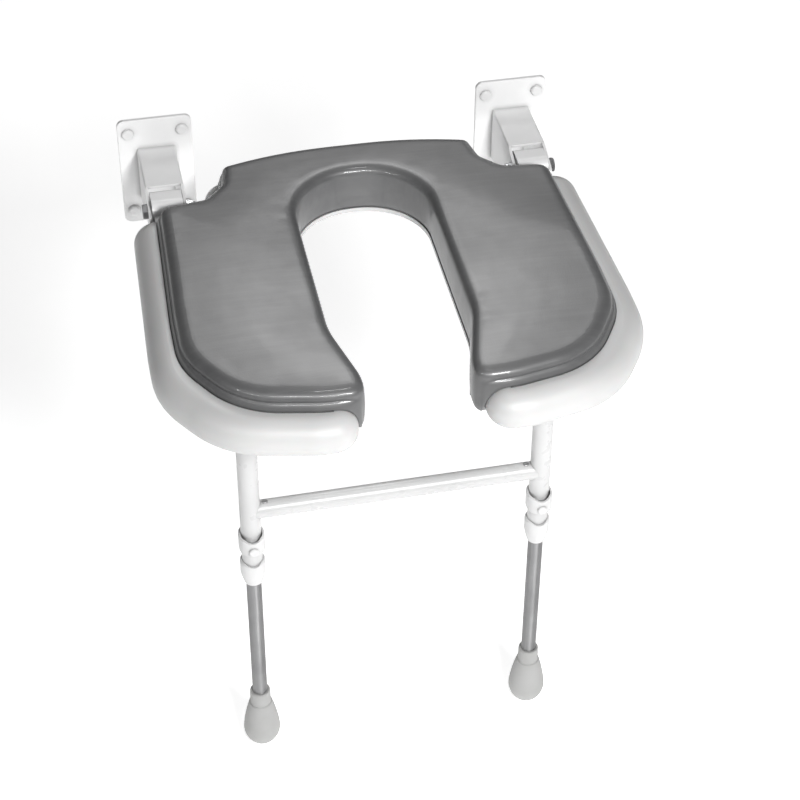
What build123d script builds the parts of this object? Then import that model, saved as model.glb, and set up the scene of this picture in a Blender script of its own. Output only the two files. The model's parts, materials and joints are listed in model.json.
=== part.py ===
from build123d import *
import os
from math import hypot

# Wall-mounted fold-up horseshoe shower seat with two height-adjustable legs.
# Millimetres. The wall is the plane y = 0 and +Y points into it, +X is to the right of a
# person who faces the wall, and +Z is up. The origin is on the wall, midway between the two
# wall plates and at the height of their centres.

# ---- driving dimensions -----------------------------------------------------------------

BRACKET_X = 197.5  # centre of each bracket
SEAT_BOTTOM_Z = -16.0  # underside of the seat base
SEAT_SHELL_Z = 22.0  # top of the seat base, where the pad begins
PAD_TOP_Z = 40.0  # sitting surface
FLOOR_Z = -565.0  # floor under the feet
SEAT_HALF_W = 245.0  # widest half-width of the seat base
SEAT_FRONT_Y = -480.0  # front of the seat base
SEAT_REAR_Y = -114.5  # rear edge of the seat base beside the brackets
TAB_REAR_Y = -44.0  # rear edge of the tab between the brackets
OPENING_HALF_W = 71.0  # half-width of the opening in the pad
OPENING_TIP_W = 53.0  # half-width between the pad's two tips
NECK_REAR_Y = -352.0  # the opening begins to narrow
NECK_FRONT_Y = -424.0  # and ends
OPENING_ROUND = 68.0  # rounding of the opening's rear corners
OPENING_REAR_Y = -101.0  # rear end of the opening in the pad
LINING_T = 9.0  # thickness of the pad where it lines the opening

PIVOT_Y = -96.0  # seat hinge axis
PIVOT_Z = 13.0
LEG_X = 156.0  # leg axis
LEG_Y = -338.0
LEG_PIVOT_Z = -36.0

# ---- wall bracket -----------------------------------------------------------------------

PLATE_W = 80.0
PLATE_H = 133.0
PLATE_T = 4.0
PLATE_CORNER_R = 8.0
FIXING_DX = 58.0  # spacing of the wall screws
FIXING_DZ = 100.0
FIXING_HOLE_R = 3.5
CAP_R = 6.5
CAP_H = 3.6
CAP_WALL = 1.0

HOUSING_W = 41.0
HOUSING_SHEET = 3.0
HOUSING_TOP_Z = 30.0
HOUSING_LIP_Y = -76.0  # front edge of the top
NOSE_Y = -113.0  # front of the two cheeks
NOSE_TOP_Z = 16.0
NOSE_LOW_Z = 2.0
HEEL_Z = -34.0  # lowest point of the housing, at the plate
CHEEK_R = 5.0  # rounding of the cheeks' corners

BOLT_R = 5.0  # seat pivot bolt
BOLT_HEAD_R = 8.5
BOLT_HEAD_H = 5.5
NUT_R = 8.5
NUT_H = 7.0
RUN_GAP = 0.05  # radial clearance of a running fit

# ---- hinge arm --------------------------------------------------------------------------

KNUCKLE_R = 15.0  # from the axis to the knuckle's top, front and underside
KNUCKLE_REAR = 16.0  # and to its squared rear end
KNUCKLE_W = 33.0
KNUCKLE_ROUNDS = [12.0, 12.0, 5.0, 12.0]
BUSH_T = 2.5
FLANGE_T = 0.75
FLANGE_R = 10.0
ARM_W = 30.0
ARM_TOP_Z = 17.0
ARM_LOW_Z = -3.0
ARM_WALL = 2.5
ARM_FRONT_Y = -400.0
ARM_SCREW_Y = (-175.0, -270.0, -380.0)
SLOT_GAP = 0.4  # round anything let into the base

# ---- seat -------------------------------------------------------------------------------

BASE_SKIN = 5.0  # thickness of the shell's top
BASE_ROLL = 16.0  # width of the solid roll round the shell's edge
BASE_TOP_ROUND = 21.0
BASE_LOW_ROUND = 14.0
RIB_T = 3.0
RIB_PITCH = 46.0
RIB_LINES = (110.0, 175.5, 219.5)  # ribs that run front to rear
NOTCH_Y = -425.0  # depth of the front notch that rounds the tips
PAD_ROUND = 9.0
LINING_LOW_Z = -11.0  # lower edge of the lining
STIFFENER_HALF_W = 100.0  # flat bar under the bridge behind the opening
STIFFENER_Y = (-84.0, -66.0)
STIFFENER_T = 4.0
STIFFENER_CORNER_R = 5.0
STIFFENER_SCREW_X = (-80.0, 0.0, 80.0)
BRIDGE_HALF_W = 112.0  # the base is solid this far out behind the opening
SCREW_R = 2.5
SCREW_HEAD_R = 5.0
SCREW_HEAD_H = 3.0
SCREW_CROSS_R = 2.6  # cross recess in the head: reach, half-width and depth
SCREW_CROSS_T = 0.6
SCREW_CROSS_D = 1.6
SCREW_L = 16.0
SCREW_COVER = 1.5  # base left above the tip of an arm screw

# ---- legs -------------------------------------------------------------------------------

OUTER_R = 11.0
OUTER_WALL = 1.5
OUTER_TOP_Z = -28.0
OUTER_LOW_Z = -300.0
CROSSBAR_R = 10.0
CROSSBAR_WALL = 1.5
CROSSBAR_Z = -206.0
RIVET_R = 1.8
RIVET_HEAD_R = 3.1
RIVET_HEAD_H = 1.0
RIVET_INSET = 5.0  # from the leg's wall
PIN_R = 4.0
PIN_HEAD_R = 6.5
PIN_HEAD_H = 2.0
PIN_TAIL = 2.5  # the pin's end beyond the ear
CLIP_R = 7.0
CLIP_T = 1.0
CLIP_SLOT = 2.6  # half-width of the clip's mouth
PLUG_DEPTH = 30.0  # of the plug in the top of the leg
EAR_T = 2.5
EAR_GAP = 0.5  # between ear and tube
BRACKET_T = 3.0
BRACKET_HALF_W = 20.0
BRACKET_HALF_L = 25.0
BRACKET_CORNER_R = 4.0
BRACKET_SCREW_DX = 12.0
BRACKET_SCREW_DY = 20.0
EAR_HALF_Y = 13.0
EAR_R = 10.0
INNER_R = 8.25
INNER_WALL = 1.25
INNER_TOP_Z = -205.0
INNER_LOW_Z = -556.0
SLIDE_GAP = 0.3
LOCK_Z = -247.0  # height of the lock pin
LOCK_PITCH = 25.0
LOCK_HOLES_UP = 1  # holes above the one in use
LOCK_HOLES_DOWN = 5  # holes below the one in use
LOCK_TRAVEL = 4.0
LOCK_PIN_R = 2.5
RING_R = 13.8
RING_H = 21.0
BOSS_R = 5.2
COLLAR_R = 13.6
COLLAR_TOP_Z = -276.0
COLLAR_LOW_Z = -309.0
COLLAR_SCREW_Z = -287.0
COLLAR_SCREW_R = 1.8
COLLAR_SCREW_HEAD_R = 3.2
COLLAR_SCREW_HEAD_H = 1.8
SPRING_HALF_W = 6.5
SPRING_H = 10.0
SPRING_T = 0.4
SPRING_BOW = 1.5
SCOOP_R = 12.0
SCOOP_DEPTH = 3.0
FERRULE_R = 20.5
FERRULE_NECK_R = 11.3
FERRULE_TOP_Z = -487.0
FERRULE_NECK_H = 19.0
FERRULE_WIDEST = 19.0  # height of the widest place above the floor
WASHER_T = 1.2
PAST = 20.0  # how far a cutter runs out from a leg's axis

SIDES = (("left", -1), ("right", 1))

os.makedirs("parts", exist_ok=True)


# ---- helpers ----------------------------------------------------------------------------


def save(name, shape):
    """Write one sub-part."""
    export_step(shape, f"parts/{name}.step")


def block(x0, x1, y0, y1, z0, z1):
    """A box between two corners."""
    size = (x1 - x0, y1 - y0, z1 - z0)
    centre = ((x0 + x1) / 2, (y0 + y1) / 2, (z0 + z1) / 2)
    return Pos(*centre) * Box(*size)


def rod(radius, start, end):
    """A round bar from one point to another."""
    run = Vector(*end) - Vector(*start)
    base = Plane(origin=start, z_dir=run.normalized())
    return base * Cylinder(radius, run.length, align=(Align.CENTER, Align.CENTER, Align.MIN))


def pipe(radius, wall, start, end):
    """A round tube from one point to another."""
    return rod(radius, start, end) - rod(radius - wall, start, end)


def turned(profile, x, y):
    """A solid of revolution about the vertical through (x, y), from (radius, z) points."""
    outline = make_face(Polyline(*[(r, 0, z) for r, z in profile], close=True))
    return Pos(x, y, 0) * revolve(outline, Axis.Z)


def hexagon(across, start, end):
    """A hexagonal prism from one point to another; across is the distance between corners."""
    run = Vector(*end) - Vector(*start)
    base = Plane(origin=start, z_dir=run.normalized())
    return base * extrude(RegularPolygon(across / 2, 6), run.length)


def profile_x(points, radii, x0, x1):
    """A solid of constant (y, z) outline between two values of x."""
    wire = FilletPolyline(*[(x0, y, z) for y, z in points], radius=radii, close=True)
    face = make_face(wire)
    return extrude(face, x1 - x0, dir=(1, 0, 0))


def plan(points, radii, z0, z1):
    """A solid of constant (x, y) outline, mirrored about x = 0, between two heights.

    The points run from the rear centre round the right-hand side to the opening's centre.
    """
    mirrored = [(-x, y) for x, y in reversed(points) if x > 0]
    ring = [p for p in points if p[0] > 0] + mirrored
    rounds = list(radii) + list(reversed(radii))
    wire = FilletPolyline(*[(x, y, z0) for x, y in ring], radius=rounds, close=True)
    return extrude(make_face(wire), z1 - z0, dir=(0, 0, 1))


def level_edges(solid, z):
    """The edges of a solid that lie at one height."""
    return solid.edges().filter_by_position(Axis.Z, z - 0.01, z + 0.01)


# ---- wall bracket -----------------------------------------------------------------------


def wall_plate(side):
    cx = side * BRACKET_X
    plate = block(cx - PLATE_W / 2, cx + PLATE_W / 2, -PLATE_T, 0, -PLATE_H / 2, PLATE_H / 2)
    plate = fillet(plate.edges().filter_by(Axis.Y), PLATE_CORNER_R)
    front = plate.faces().sort_by(Axis.Y)[0]
    plate = fillet(front.edges(), 1.2)
    for x, z in fixings(side):
        plate -= rod(FIXING_HOLE_R, (x, 1, z), (x, -PLATE_T - 1, z))
    return plate


def fixings(side):
    """The (x, z) places of one plate's four wall screws."""
    cx = side * BRACKET_X
    return [
        (cx + dx * FIXING_DX / 2, dz * FIXING_DZ / 2)
        for dx in (-1, 1)
        for dz in (-1, 1)
    ]


def screw_caps(side):
    """Domed covers, hollow so that a screw head fits under each."""
    caps = []
    for x, z in fixings(side):
        face = -PLATE_T
        dome = rod(CAP_R, (x, face, z), (x, face - CAP_H, z))
        dome = fillet(dome.edges().sort_by(Axis.Y)[0], 2.4)
        hollow_r = CAP_R - CAP_WALL
        hollow = rod(hollow_r, (x, face, z), (x, face - CAP_H + CAP_WALL, z))
        caps.append(dome - hollow)
    return Compound(caps)


def housing(side):
    """An inverted U of sheet on the plate; its cheeks run on past the top as a sloping nose."""
    cx = side * BRACKET_X
    outline = [
        (-PLATE_T, HOUSING_TOP_Z),
        (HOUSING_LIP_Y, HOUSING_TOP_Z),
        (NOSE_Y, NOSE_TOP_Z),
        (NOSE_Y, NOSE_LOW_Z),
        (PIVOT_Y + 4, PIVOT_Z - 24),
        (-PLATE_T, HEEL_Z),
    ]
    radii = [0, 0, CHEEK_R + 3, CHEEK_R + 3, CHEEK_R + 15, 0]
    shell = profile_x(outline, radii, cx - HOUSING_W / 2, cx + HOUSING_W / 2)
    top_edges = [
        e
        for e in shell.edges().filter_by(Axis.Y)
        if abs(e.center().Z - HOUSING_TOP_Z) < 0.01
    ]
    shell = fillet(top_edges, 2.0)
    inside = HOUSING_W / 2 - HOUSING_SHEET
    under_top = HOUSING_TOP_Z - HOUSING_SHEET
    shell -= block(cx - inside, cx + inside, HOUSING_LIP_Y, 0, HEEL_Z - 5, under_top)
    shell -= block(
        cx - inside, cx + inside, NOSE_Y - 5, HOUSING_LIP_Y, HEEL_Z - 5, HOUSING_TOP_Z + 5
    )
    hole = HOUSING_W / 2 + 1
    shell -= rod(BOLT_R, (cx - hole, PIVOT_Y, PIVOT_Z), (cx + hole, PIVOT_Y, PIVOT_Z))
    return shell


def pivot_bolt(side):
    """Hexagon bolt from the outer side, through both cheeks and the nut."""
    cx = side * BRACKET_X
    outer = cx + side * HOUSING_W / 2
    inner = cx - side * (HOUSING_W / 2 + NUT_H + 2.5)
    head_end = outer + side * BOLT_HEAD_H
    head = hexagon(2 * BOLT_HEAD_R, (outer, PIVOT_Y, PIVOT_Z), (head_end, PIVOT_Y, PIVOT_Z))
    crown = rod(BOLT_HEAD_R, (outer, PIVOT_Y, PIVOT_Z), (head_end, PIVOT_Y, PIVOT_Z))
    crown = chamfer(crown.edges().sort_by(Axis.X)[-1 if side > 0 else 0], 1.2)
    shank = rod(BOLT_R, (outer, PIVOT_Y, PIVOT_Z), (inner, PIVOT_Y, PIVOT_Z))
    return (head & crown) + shank


def pivot_nut(side):
    """Lock nut with a round collar, on the inner cheek."""
    cx = side * BRACKET_X
    face = cx - side * HOUSING_W / 2
    mid = face - side * NUT_H * 0.65
    end = face - side * NUT_H
    nut = hexagon(2 * NUT_R, (face, PIVOT_Y, PIVOT_Z), (mid, PIVOT_Y, PIVOT_Z))
    nut += rod(NUT_R * 0.84, (mid, PIVOT_Y, PIVOT_Z), (end, PIVOT_Y, PIVOT_Z))
    return nut - rod(BOLT_R, (face, PIVOT_Y, PIVOT_Z), (end, PIVOT_Y, PIVOT_Z))


# ---- hinge arm --------------------------------------------------------------------------


def hinge_arm(side):
    """Knuckle on the pivot, with a hollow bar that runs forward inside the base."""
    cx = side * BRACKET_X
    half = KNUCKLE_W / 2
    front = PIVOT_Y - KNUCKLE_R
    rear = PIVOT_Y + KNUCKLE_REAR
    low = PIVOT_Z - KNUCKLE_R
    top = PIVOT_Z + KNUCKLE_R
    outline = [(front, low), (front, top), (rear, top), (rear, low)]
    arm = profile_x(outline, KNUCKLE_ROUNDS, cx - half, cx + half)
    arm_x0 = cx - ARM_W / 2
    arm_x1 = cx + ARM_W / 2
    arm += block(arm_x0, arm_x1, ARM_FRONT_Y, PIVOT_Y - 4, ARM_LOW_Z, ARM_TOP_Z)
    arm -= block(
        arm_x0 + ARM_WALL,
        arm_x1 - ARM_WALL,
        ARM_FRONT_Y - 1,
        SEAT_REAR_Y - 4,
        ARM_LOW_Z + ARM_WALL,
        ARM_TOP_Z - ARM_WALL,
    )
    bore = BOLT_R + RUN_GAP + BUSH_T
    arm -= rod(bore, (cx - half - 1, PIVOT_Y, PIVOT_Z), (cx + half + 1, PIVOT_Y, PIVOT_Z))
    return arm


def pivot_bush(side):
    """Two flanged sleeves pressed into the knuckle from its two ends."""
    cx = side * BRACKET_X
    half = KNUCKLE_W / 2
    inner = BOLT_R + RUN_GAP
    sleeves = []
    for end in (-1, 1):
        face = cx + end * half
        tip = cx + end * (half - 14.0)
        rim = face + end * FLANGE_T
        sleeve = rod(inner + BUSH_T, (tip, PIVOT_Y, PIVOT_Z), (face, PIVOT_Y, PIVOT_Z))
        sleeve += rod(FLANGE_R, (face, PIVOT_Y, PIVOT_Z), (rim, PIVOT_Y, PIVOT_Z))
        sleeve -= rod(inner, (tip - end, PIVOT_Y, PIVOT_Z), (rim + end, PIVOT_Y, PIVOT_Z))
        sleeves.append(sleeve)
    return Compound(sleeves)


def arm_screws_at(side):
    """The (x, y) places of the screws that hold one arm to the base."""
    return [(side * BRACKET_X, y) for y in ARM_SCREW_Y]


def screw_up(x, y, z_head, length):
    """A pan-head screw that points up; z_head is the face that its head lies on."""
    screw = rod(SCREW_R, (x, y, z_head), (x, y, z_head + length))
    head = rod(SCREW_HEAD_R, (x, y, z_head - SCREW_HEAD_H), (x, y, z_head))
    head = fillet(head.edges().sort_by(Axis.Z)[0], 1.2)
    low = z_head - SCREW_HEAD_H - 1
    top = z_head - SCREW_HEAD_H + SCREW_CROSS_D
    r, t = SCREW_CROSS_R, SCREW_CROSS_T
    cross = block(x - r, x + r, y - t, y + t, low, top)
    cross += block(x - t, x + t, y - r, y + r, low, top)
    return screw + head - cross


# ---- seat -------------------------------------------------------------------------------

# Corners of the seat base's outline, right-hand half, from the rear to the opening's tip.
BASE_OUTLINE = [
    (75.0, TAB_REAR_Y),
    (157.0, TAB_REAR_Y - 21),
    (157.0, SEAT_REAR_Y),
    (SEAT_HALF_W - 8, SEAT_REAR_Y),
    (SEAT_HALF_W, -320.0),
    (SEAT_HALF_W, -383.0),
    (193.0, -462.0),
    (104.0, SEAT_FRONT_Y),
    (OPENING_TIP_W + LINING_T, SEAT_FRONT_Y),
    (OPENING_TIP_W + LINING_T, NECK_FRONT_Y),
    (OPENING_HALF_W + LINING_T, NECK_REAR_Y),
    (OPENING_HALF_W + LINING_T, OPENING_REAR_Y + LINING_T),
]
BASE_RADII = [500.0, 24.0, 8.0, 25.0, 200.0, 110.0, 100.0, 60.0, 26.0, 90.0, 120.0]
BASE_RADII += [OPENING_ROUND + LINING_T]

# The same for the pad.
PAD_OUTLINE = [
    (72.0, TAB_REAR_Y - 4),
    (134.0, TAB_REAR_Y - 20),
    (140.0, -97.0),
    (160.0, SEAT_REAR_Y - 4),
    (208.0, SEAT_REAR_Y - 9),
    (215.0, -300.0),
    (215.0, -364.0),
    (171.0, -436.0),
    (92.0, -451.0),
    (OPENING_TIP_W, -451.0),
    (OPENING_TIP_W, NECK_FRONT_Y),
    (OPENING_HALF_W, NECK_REAR_Y),
    (OPENING_HALF_W, OPENING_REAR_Y),
]
PAD_RADII = [440.0, 9.0, 14.0, 9.0, 15.0, 300.0, 90.0, 90.0, 120.0, 15.0, 80.0, 120.0]
PAD_RADII += [OPENING_ROUND]


def inset(points, radii, distance):
    """The outline's corners and radii, moved inwards by a distance."""
    ring = [(0.0, points[0][1])] + points + [(0.0, points[-1][1])]
    moved = []
    rounds = []
    for before, here, after, radius in zip(ring, points, ring[2:], radii):
        ux, uy = direction(before, here)
        vx, vy = direction(here, after)
        turn = ux * vy - uy * vx
        # the inward normal of a run is on its right-hand side
        nx, ny = uy + vy, -ux - vx
        scale = distance / (1 + ux * vx + uy * vy)
        moved.append((here[0] + nx * scale, here[1] + ny * scale))
        rounds.append(max(radius - distance if turn < 0 else radius + distance, 1.0))
    return moved, rounds


def direction(a, b):
    """Unit vector from a to b."""
    length = hypot(b[0] - a[0], b[1] - a[1])
    return (b[0] - a[0]) / length, (b[1] - a[1]) / length


def base_block():
    """The base as a solid: a roll outside, and a lip round the opening under the lining."""
    tip = len(BASE_OUTLINE) - 3
    outline = BASE_OUTLINE[:tip] + [(BASE_OUTLINE[tip][0], NOTCH_Y)]
    radii = BASE_RADII[:tip] + [8.0]
    solid = plan(outline, radii, SEAT_BOTTOM_Z, SEAT_SHELL_Z)
    solid = fillet(level_edges(solid, SEAT_SHELL_Z), BASE_TOP_ROUND)
    solid = fillet(level_edges(solid, SEAT_BOTTOM_Z), BASE_LOW_ROUND)
    solid -= opening_plug(0, SEAT_BOTTOM_Z - 1)
    return solid - opening_plug(LINING_T, LINING_LOW_Z)


def seat_base():
    """White horseshoe moulding: a shell open below, with ribs and screw blocks."""
    base = base_block()
    points, radii = inset(BASE_OUTLINE, BASE_RADII, BASE_ROLL)
    skin_z = SEAT_SHELL_Z - BASE_SKIN
    rib_low = SEAT_BOTTOM_Z + 4
    cavity = plan(points, radii, SEAT_BOTTOM_Z - 1, skin_z)
    cavity -= block(
        -BRIDGE_HALF_W, BRIDGE_HALF_W, SEAT_REAR_Y, TAB_REAR_Y, SEAT_BOTTOM_Z - 2, skin_z + 1
    )
    ribs = None
    y = SEAT_REAR_Y - 20
    while y > SEAT_FRONT_Y:
        rib = block(-SEAT_HALF_W, SEAT_HALF_W, y - RIB_T / 2, y + RIB_T / 2, rib_low, skin_z)
        ribs = rib if ribs is None else ribs + rib
        y -= RIB_PITCH
    for x in RIB_LINES:
        for sx in (-x, x):
            ribs += block(
                sx - RIB_T / 2, sx + RIB_T / 2, SEAT_FRONT_Y, TAB_REAR_Y, rib_low, skin_z
            )
    base -= cavity - ribs
    below = SEAT_BOTTOM_Z - 5
    y0 = STIFFENER_Y[0] - SLOT_GAP
    y1 = STIFFENER_Y[1] + SLOT_GAP
    bar_end = STIFFENER_HALF_W + SLOT_GAP
    base -= block(-bar_end, bar_end, y0, y1, below, SEAT_BOTTOM_Z + STIFFENER_T)
    for _, side in SIDES:
        cx = side * BRACKET_X
        half = ARM_W / 2 + SLOT_GAP
        base -= block(cx - half, cx + half, ARM_FRONT_Y - 2, SEAT_REAR_Y + 1, below, skin_z)
        base += bracket_block(side, SEAT_BOTTOM_Z, skin_z)
    return base


def opening_plug(margin, low_z):
    """The horseshoe's opening, widened by a margin and run out past the front."""
    points = [
        (OPENING_TIP_W + margin, SEAT_FRONT_Y - 30),
        (OPENING_TIP_W + margin, NECK_FRONT_Y),
        (OPENING_HALF_W + margin, NECK_REAR_Y),
        (OPENING_HALF_W + margin, OPENING_REAR_Y + margin),
    ]
    radii = [0.0, 85.0, 120.0, OPENING_ROUND + margin]
    return plan(points, radii, low_z, PAD_TOP_Z)


def seat_pad():
    """Grey cushion: a slab over the base, and a lining down the walls of the opening."""
    slab = plan(PAD_OUTLINE, PAD_RADII, SEAT_SHELL_Z, PAD_TOP_Z)
    slab = fillet(level_edges(slab, PAD_TOP_Z), PAD_ROUND)
    depth = plan(PAD_OUTLINE, PAD_RADII, LINING_LOW_Z, SEAT_SHELL_Z)
    return slab + (depth & opening_plug(LINING_T, LINING_LOW_Z))


def rear_stiffener():
    """Flat bar let into the underside of the bridge behind the opening."""
    y0, y1 = STIFFENER_Y
    top = SEAT_BOTTOM_Z + STIFFENER_T
    bar = block(-STIFFENER_HALF_W, STIFFENER_HALF_W, y0, y1, SEAT_BOTTOM_Z, top)
    bar = fillet(bar.edges().filter_by(Axis.Z), STIFFENER_CORNER_R)
    y = sum(STIFFENER_Y) / 2
    for x in STIFFENER_SCREW_X:
        bar -= rod(SCREW_R, (x, y, SEAT_BOTTOM_Z), (x, y, top))
    return bar


def stiffener_screws():
    y = sum(STIFFENER_Y) / 2
    return Compound([screw_up(x, y, SEAT_BOTTOM_Z, SCREW_L) for x in STIFFENER_SCREW_X])


# ---- leg bracket and pivot --------------------------------------------------------------


def bracket_screws_at(side):
    """The (x, y) places of the screws that hold one leg bracket."""
    return [
        (side * LEG_X + dx * BRACKET_SCREW_DX, LEG_Y + dy * BRACKET_SCREW_DY)
        for dx in (-1, 1)
        for dy in (-1, 1)
    ]


def bracket_block(side, low, top):
    """A block of the leg bracket's plan, between two heights."""
    x0 = side * LEG_X - BRACKET_HALF_W
    x1 = side * LEG_X + BRACKET_HALF_W
    return block(x0, x1, LEG_Y - BRACKET_HALF_L, LEG_Y + BRACKET_HALF_L, low, top)


def leg_bracket(side):
    """A plate under the base with two ears that straddle the top of the leg."""
    cx = side * LEG_X
    top = SEAT_BOTTOM_Z
    low = SEAT_BOTTOM_Z - BRACKET_T
    plate = bracket_block(side, low, top)
    plate = fillet(plate.edges().filter_by(Axis.Z), BRACKET_CORNER_R)
    inner = OUTER_R + EAR_GAP
    for end in (-1, 1):
        near = cx + end * inner
        far = cx + end * (inner + EAR_T)
        x0 = min(near, far)
        x1 = max(near, far)
        ear = block(x0, x1, LEG_Y - EAR_HALF_Y, LEG_Y + EAR_HALF_Y, LEG_PIVOT_Z, low)
        ear += rod(EAR_R, (x0, LEG_Y, LEG_PIVOT_Z), (x1, LEG_Y, LEG_PIVOT_Z))
        plate += ear
    plate -= rod(PIN_R, (cx - PAST, LEG_Y, LEG_PIVOT_Z), (cx + PAST, LEG_Y, LEG_PIVOT_Z))
    for x, y in bracket_screws_at(side):
        plate -= rod(SCREW_R, (x, y, low - 1), (x, y, top + 1))
    return plate


def leg_pin_ends(side):
    """The x of the leg pin's head face and of its clip face."""
    reach = OUTER_R + EAR_GAP + EAR_T
    return side * (LEG_X + reach), side * (LEG_X - reach)


def leg_pin(side):
    """Headed pin through the ears and the leg's top plug."""
    head_x, clip_x = leg_pin_ends(side)
    tail_x = clip_x - side * PIN_TAIL
    head_end = head_x + side * PIN_HEAD_H
    pin = rod(PIN_R, (head_x, LEG_Y, LEG_PIVOT_Z), (tail_x, LEG_Y, LEG_PIVOT_Z))
    head = rod(PIN_HEAD_R, (head_x, LEG_Y, LEG_PIVOT_Z), (head_end, LEG_Y, LEG_PIVOT_Z))
    return pin + fillet(head.edges().sort_by(Axis.X)[-1 if side > 0 else 0], 0.8)


def pin_clip(side):
    """Open ring clipped on the end of the leg pin."""
    _, clip_x = leg_pin_ends(side)
    end = clip_x - side * CLIP_T
    ring = rod(CLIP_R, (clip_x, LEG_Y, LEG_PIVOT_Z), (end, LEG_Y, LEG_PIVOT_Z))
    ring -= rod(PIN_R, (clip_x, LEG_Y, LEG_PIVOT_Z), (end, LEG_Y, LEG_PIVOT_Z))
    x0 = min(clip_x, end)
    x1 = max(clip_x, end)
    y0 = LEG_Y - CLIP_SLOT
    y1 = LEG_Y + CLIP_SLOT
    return ring - block(x0 - 1, x1 + 1, y0, y1, LEG_PIVOT_Z - CLIP_R - 1, LEG_PIVOT_Z)


# ---- outer leg frame --------------------------------------------------------------------


def outer_leg(side):
    cx = side * LEG_X
    tube = pipe(OUTER_R, OUTER_WALL, (cx, LEG_Y, OUTER_LOW_Z), (cx, LEG_Y, OUTER_TOP_Z))
    pivot_hole = PIN_R + SLIDE_GAP
    tube -= rod(pivot_hole, (cx - PAST, LEG_Y, LEG_PIVOT_Z), (cx + PAST, LEG_Y, LEG_PIVOT_Z))
    return tube - back_hole(LOCK_PIN_R + SLIDE_GAP, cx, LOCK_Z) - collar_screw_hole(cx)


def back_hole(radius, x, z):
    """Cutter for a hole in the back of a leg."""
    return rod(radius, (x, LEG_Y, z), (x, LEG_Y + PAST, z))


def collar_screw_hole(x):
    return back_hole(COLLAR_SCREW_R, x, COLLAR_SCREW_Z)


def leg_top_plug(side):
    """Plug in the top of the leg; the leg pin runs in its cross bore."""
    bore = OUTER_R - OUTER_WALL
    profile = [
        (0, OUTER_TOP_Z + 1.6),
        (OUTER_R - 2, OUTER_TOP_Z + 1.6),
        (OUTER_R, OUTER_TOP_Z),
        (bore, OUTER_TOP_Z),
        (bore, OUTER_TOP_Z - PLUG_DEPTH + 2),
        (bore - 1.5, OUTER_TOP_Z - PLUG_DEPTH),
        (0, OUTER_TOP_Z - PLUG_DEPTH),
    ]
    cx = side * LEG_X
    plug = turned(profile, cx, LEG_Y)
    run = PIN_R + RUN_GAP
    return plug - rod(run, (cx - PAST, LEG_Y, LEG_PIVOT_Z), (cx + PAST, LEG_Y, LEG_PIVOT_Z))


def crossbar_rivets_at():
    return [side * (LEG_X - OUTER_R - RIVET_INSET) for _, side in SIDES]


def crossbar():
    """Tube between the legs, its ends shaped to their round walls."""
    bar = pipe(CROSSBAR_R, CROSSBAR_WALL, (-LEG_X, LEG_Y, CROSSBAR_Z), (LEG_X, LEG_Y, CROSSBAR_Z))
    for x in crossbar_rivets_at():
        bar -= rod(RIVET_R, (x, LEG_Y, CROSSBAR_Z), (x, LEG_Y, CROSSBAR_Z + PAST))
    for _, side in SIDES:
        x = side * LEG_X
        bar -= rod(OUTER_R, (x, LEG_Y, CROSSBAR_Z - PAST), (x, LEG_Y, CROSSBAR_Z + PAST))
    return bar


def crossbar_rivets():
    """Blind rivets in the top of the crossbar, near its ends."""
    rivets = []
    top = CROSSBAR_Z + CROSSBAR_R
    for x in crossbar_rivets_at():
        head_end = (x, LEG_Y, top + RIVET_HEAD_H)
        head = rod(RIVET_HEAD_R, (x, LEG_Y, top), head_end)
        head = fillet(head.edges().sort_by(Axis.Z)[-1], 0.8)
        shank = rod(RIVET_R, (x, LEG_Y, top - CROSSBAR_WALL - 2), head_end)
        rivets.append(shank + head)
    return Compound(rivets)


def end_collar(side):
    """Bush on the foot of the outer leg: it guides the inner leg and tapers down to it."""
    cx = side * LEG_X
    guide = INNER_R + SLIDE_GAP
    profile = [
        (OUTER_R, COLLAR_TOP_Z),
        (COLLAR_R - 1.2, COLLAR_TOP_Z),
        (COLLAR_R, COLLAR_TOP_Z - 2),
        (COLLAR_R, COLLAR_TOP_Z - 17),
        (COLLAR_R - 0.9, COLLAR_TOP_Z - 23),
        (COLLAR_R - 2.4, COLLAR_TOP_Z - 29),
        (guide + 1.4, COLLAR_LOW_Z),
        (guide, COLLAR_LOW_Z),
        (guide, OUTER_LOW_Z),
        (OUTER_R, OUTER_LOW_Z),
    ]
    collar = turned(profile, cx, LEG_Y)
    collar -= scoop(cx, COLLAR_TOP_Z)
    return collar - collar_screw_hole(cx)


def scoop(x, top_z):
    """A shallow hollow in the top edge of a collar, front and back, that leaves two ears."""
    z = top_z + SCOOP_R - SCOOP_DEPTH
    return rod(SCOOP_R, (x, LEG_Y - PAST, z), (x, LEG_Y + PAST, z))


def collar_screw(side):
    """Pan-head screw at the back of the end collar."""
    cx = side * LEG_X
    face = LEG_Y + COLLAR_R
    shank_end = (cx, LEG_Y + OUTER_R - OUTER_WALL + 0.2, COLLAR_SCREW_Z)
    shank = rod(COLLAR_SCREW_R, shank_end, (cx, face, COLLAR_SCREW_Z))
    head_end = (cx, face + COLLAR_SCREW_HEAD_H, COLLAR_SCREW_Z)
    head = rod(COLLAR_SCREW_HEAD_R, (cx, face, COLLAR_SCREW_Z), head_end)
    head = fillet(head.edges().sort_by(Axis.Y)[-1], 0.9)
    return shank + head


# ---- locking ring -----------------------------------------------------------------------


def stretched(radius, x, travel, z0, z1):
    """A round bar about the leg, lengthened forwards by the ring's travel."""
    bar = rod(radius, (x, LEG_Y, z0), (x, LEG_Y, z1))
    bar += rod(radius, (x, LEG_Y - travel, z0), (x, LEG_Y - travel, z1))
    return bar + block(x - radius, x + radius, LEG_Y - travel, LEG_Y, z0, z1)


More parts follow.
